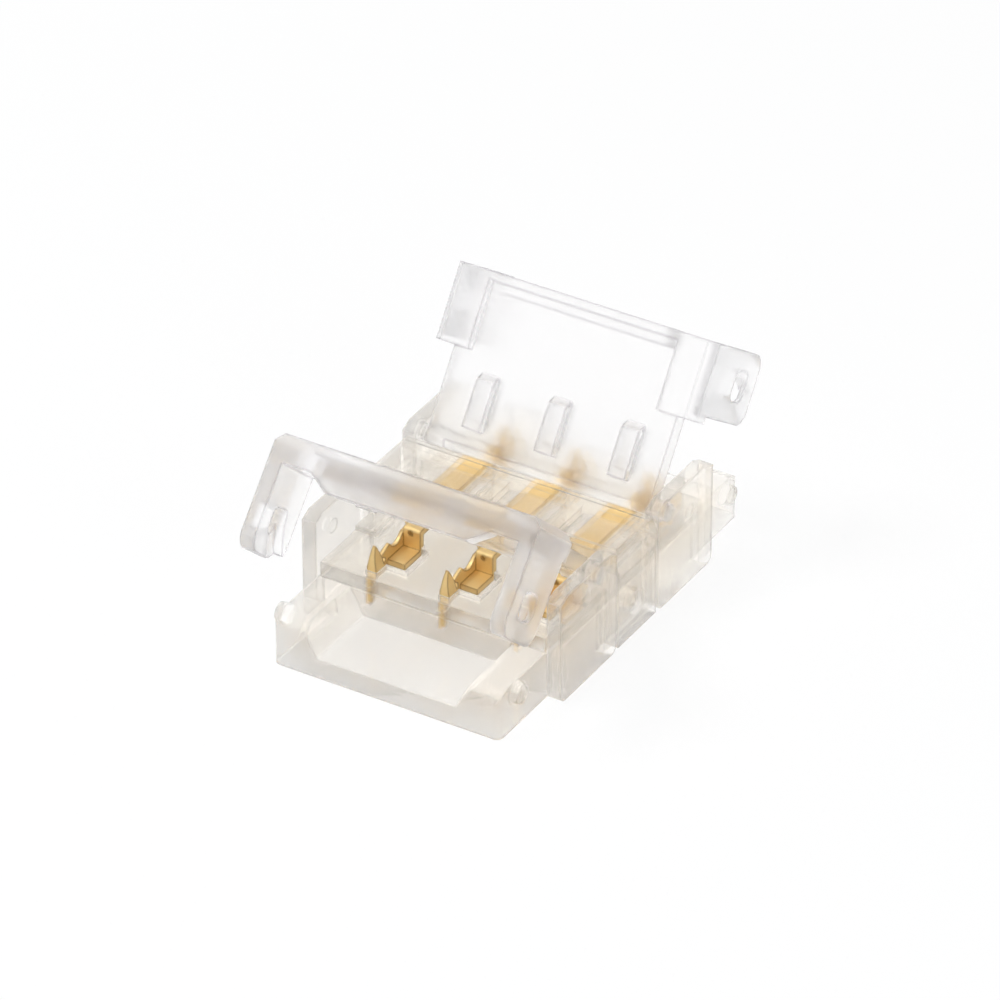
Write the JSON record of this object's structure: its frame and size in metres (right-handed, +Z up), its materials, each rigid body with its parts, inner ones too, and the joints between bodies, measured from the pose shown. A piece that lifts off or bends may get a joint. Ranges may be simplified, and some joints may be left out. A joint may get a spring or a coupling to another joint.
{
  "type": "led strip connector",
  "caption": "Clear clip-on connector that joins flat light strips end to end, with hinged snap covers over piercing gold contacts.",
  "frame": {"origin": "middle of the housing's flat underside, on the rest face", "axes": "+X across the strip, +Y along the strip towards the far tray, +Z up from the rest face"},
  "size_m": [0.014, 0.0226, 0.0119],
  "materials": {
    "clear_plastic": "gloss",
    "gold_contact": "satin"
  },
  "bodies": {
    "base": {"base_housing": "clear_plastic", "contact_carrier": "clear_plastic", "centre_cap": "clear_plastic", "contact_left": "gold_contact", "contact_centre": "gold_contact", "contact_right": "gold_contact"},
    "near_cover": {"near_cover": "clear_plastic"},
    "far_cover": {"far_cover": "clear_plastic"}
  },
  "joints": [
    {"name": "near_hinge", "type": "hinge", "parent": "base", "child": "near_cover", "pos_m": [0, -0.003, 0.00473], "axis": [-1, 0, 0], "range_deg": [-42, 53]},
    {"name": "far_hinge", "type": "hinge", "parent": "base", "child": "far_cover", "pos_m": [0, 0.003, 0.00473], "axis": [1, 0, 0], "range_deg": [-54.6, 40.4]}
  ]
}
